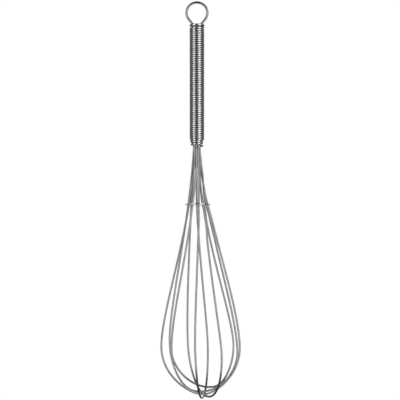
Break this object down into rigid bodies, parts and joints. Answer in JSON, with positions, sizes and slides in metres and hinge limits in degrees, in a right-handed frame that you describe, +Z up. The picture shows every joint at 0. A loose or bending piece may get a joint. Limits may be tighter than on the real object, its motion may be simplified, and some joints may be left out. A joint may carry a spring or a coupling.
{
  "type": "balloon whisk",
  "caption": "Balloon whisk of steel wire: nested wire loops held apart by a thin spacer plate, a handle of close-wound wire and a round hanging eye.",
  "frame": {"origin": "the point inside the top of the hanging eye that rests on a hook", "axes": "+Z up along the handle, balloon hanging below; +X to the right in the picture, in the plane of the hanging eye; -Y towards the picture's viewer"},
  "size_m": [0.0609, 0.0618, 0.3016],
  "materials": {
    "wire_steel": "bright drawn stainless wire with fine draw lines along it",
    "coil_steel": "bright drawn stainless wire, close wound",
    "plate_steel": "satin stamped stainless sheet"
  },
  "bodies": {
    "root": {"hanging_loop": "wire_steel", "balloon_wire_1": "wire_steel", "balloon_wire_2": "wire_steel", "balloon_wire_3": "wire_steel", "balloon_wire_4": "wire_steel", "balloon_wire_5": "wire_steel", "spacer_disc": "plate_steel", "handle_coil": "coil_steel"}
  },
  "joints": []
}
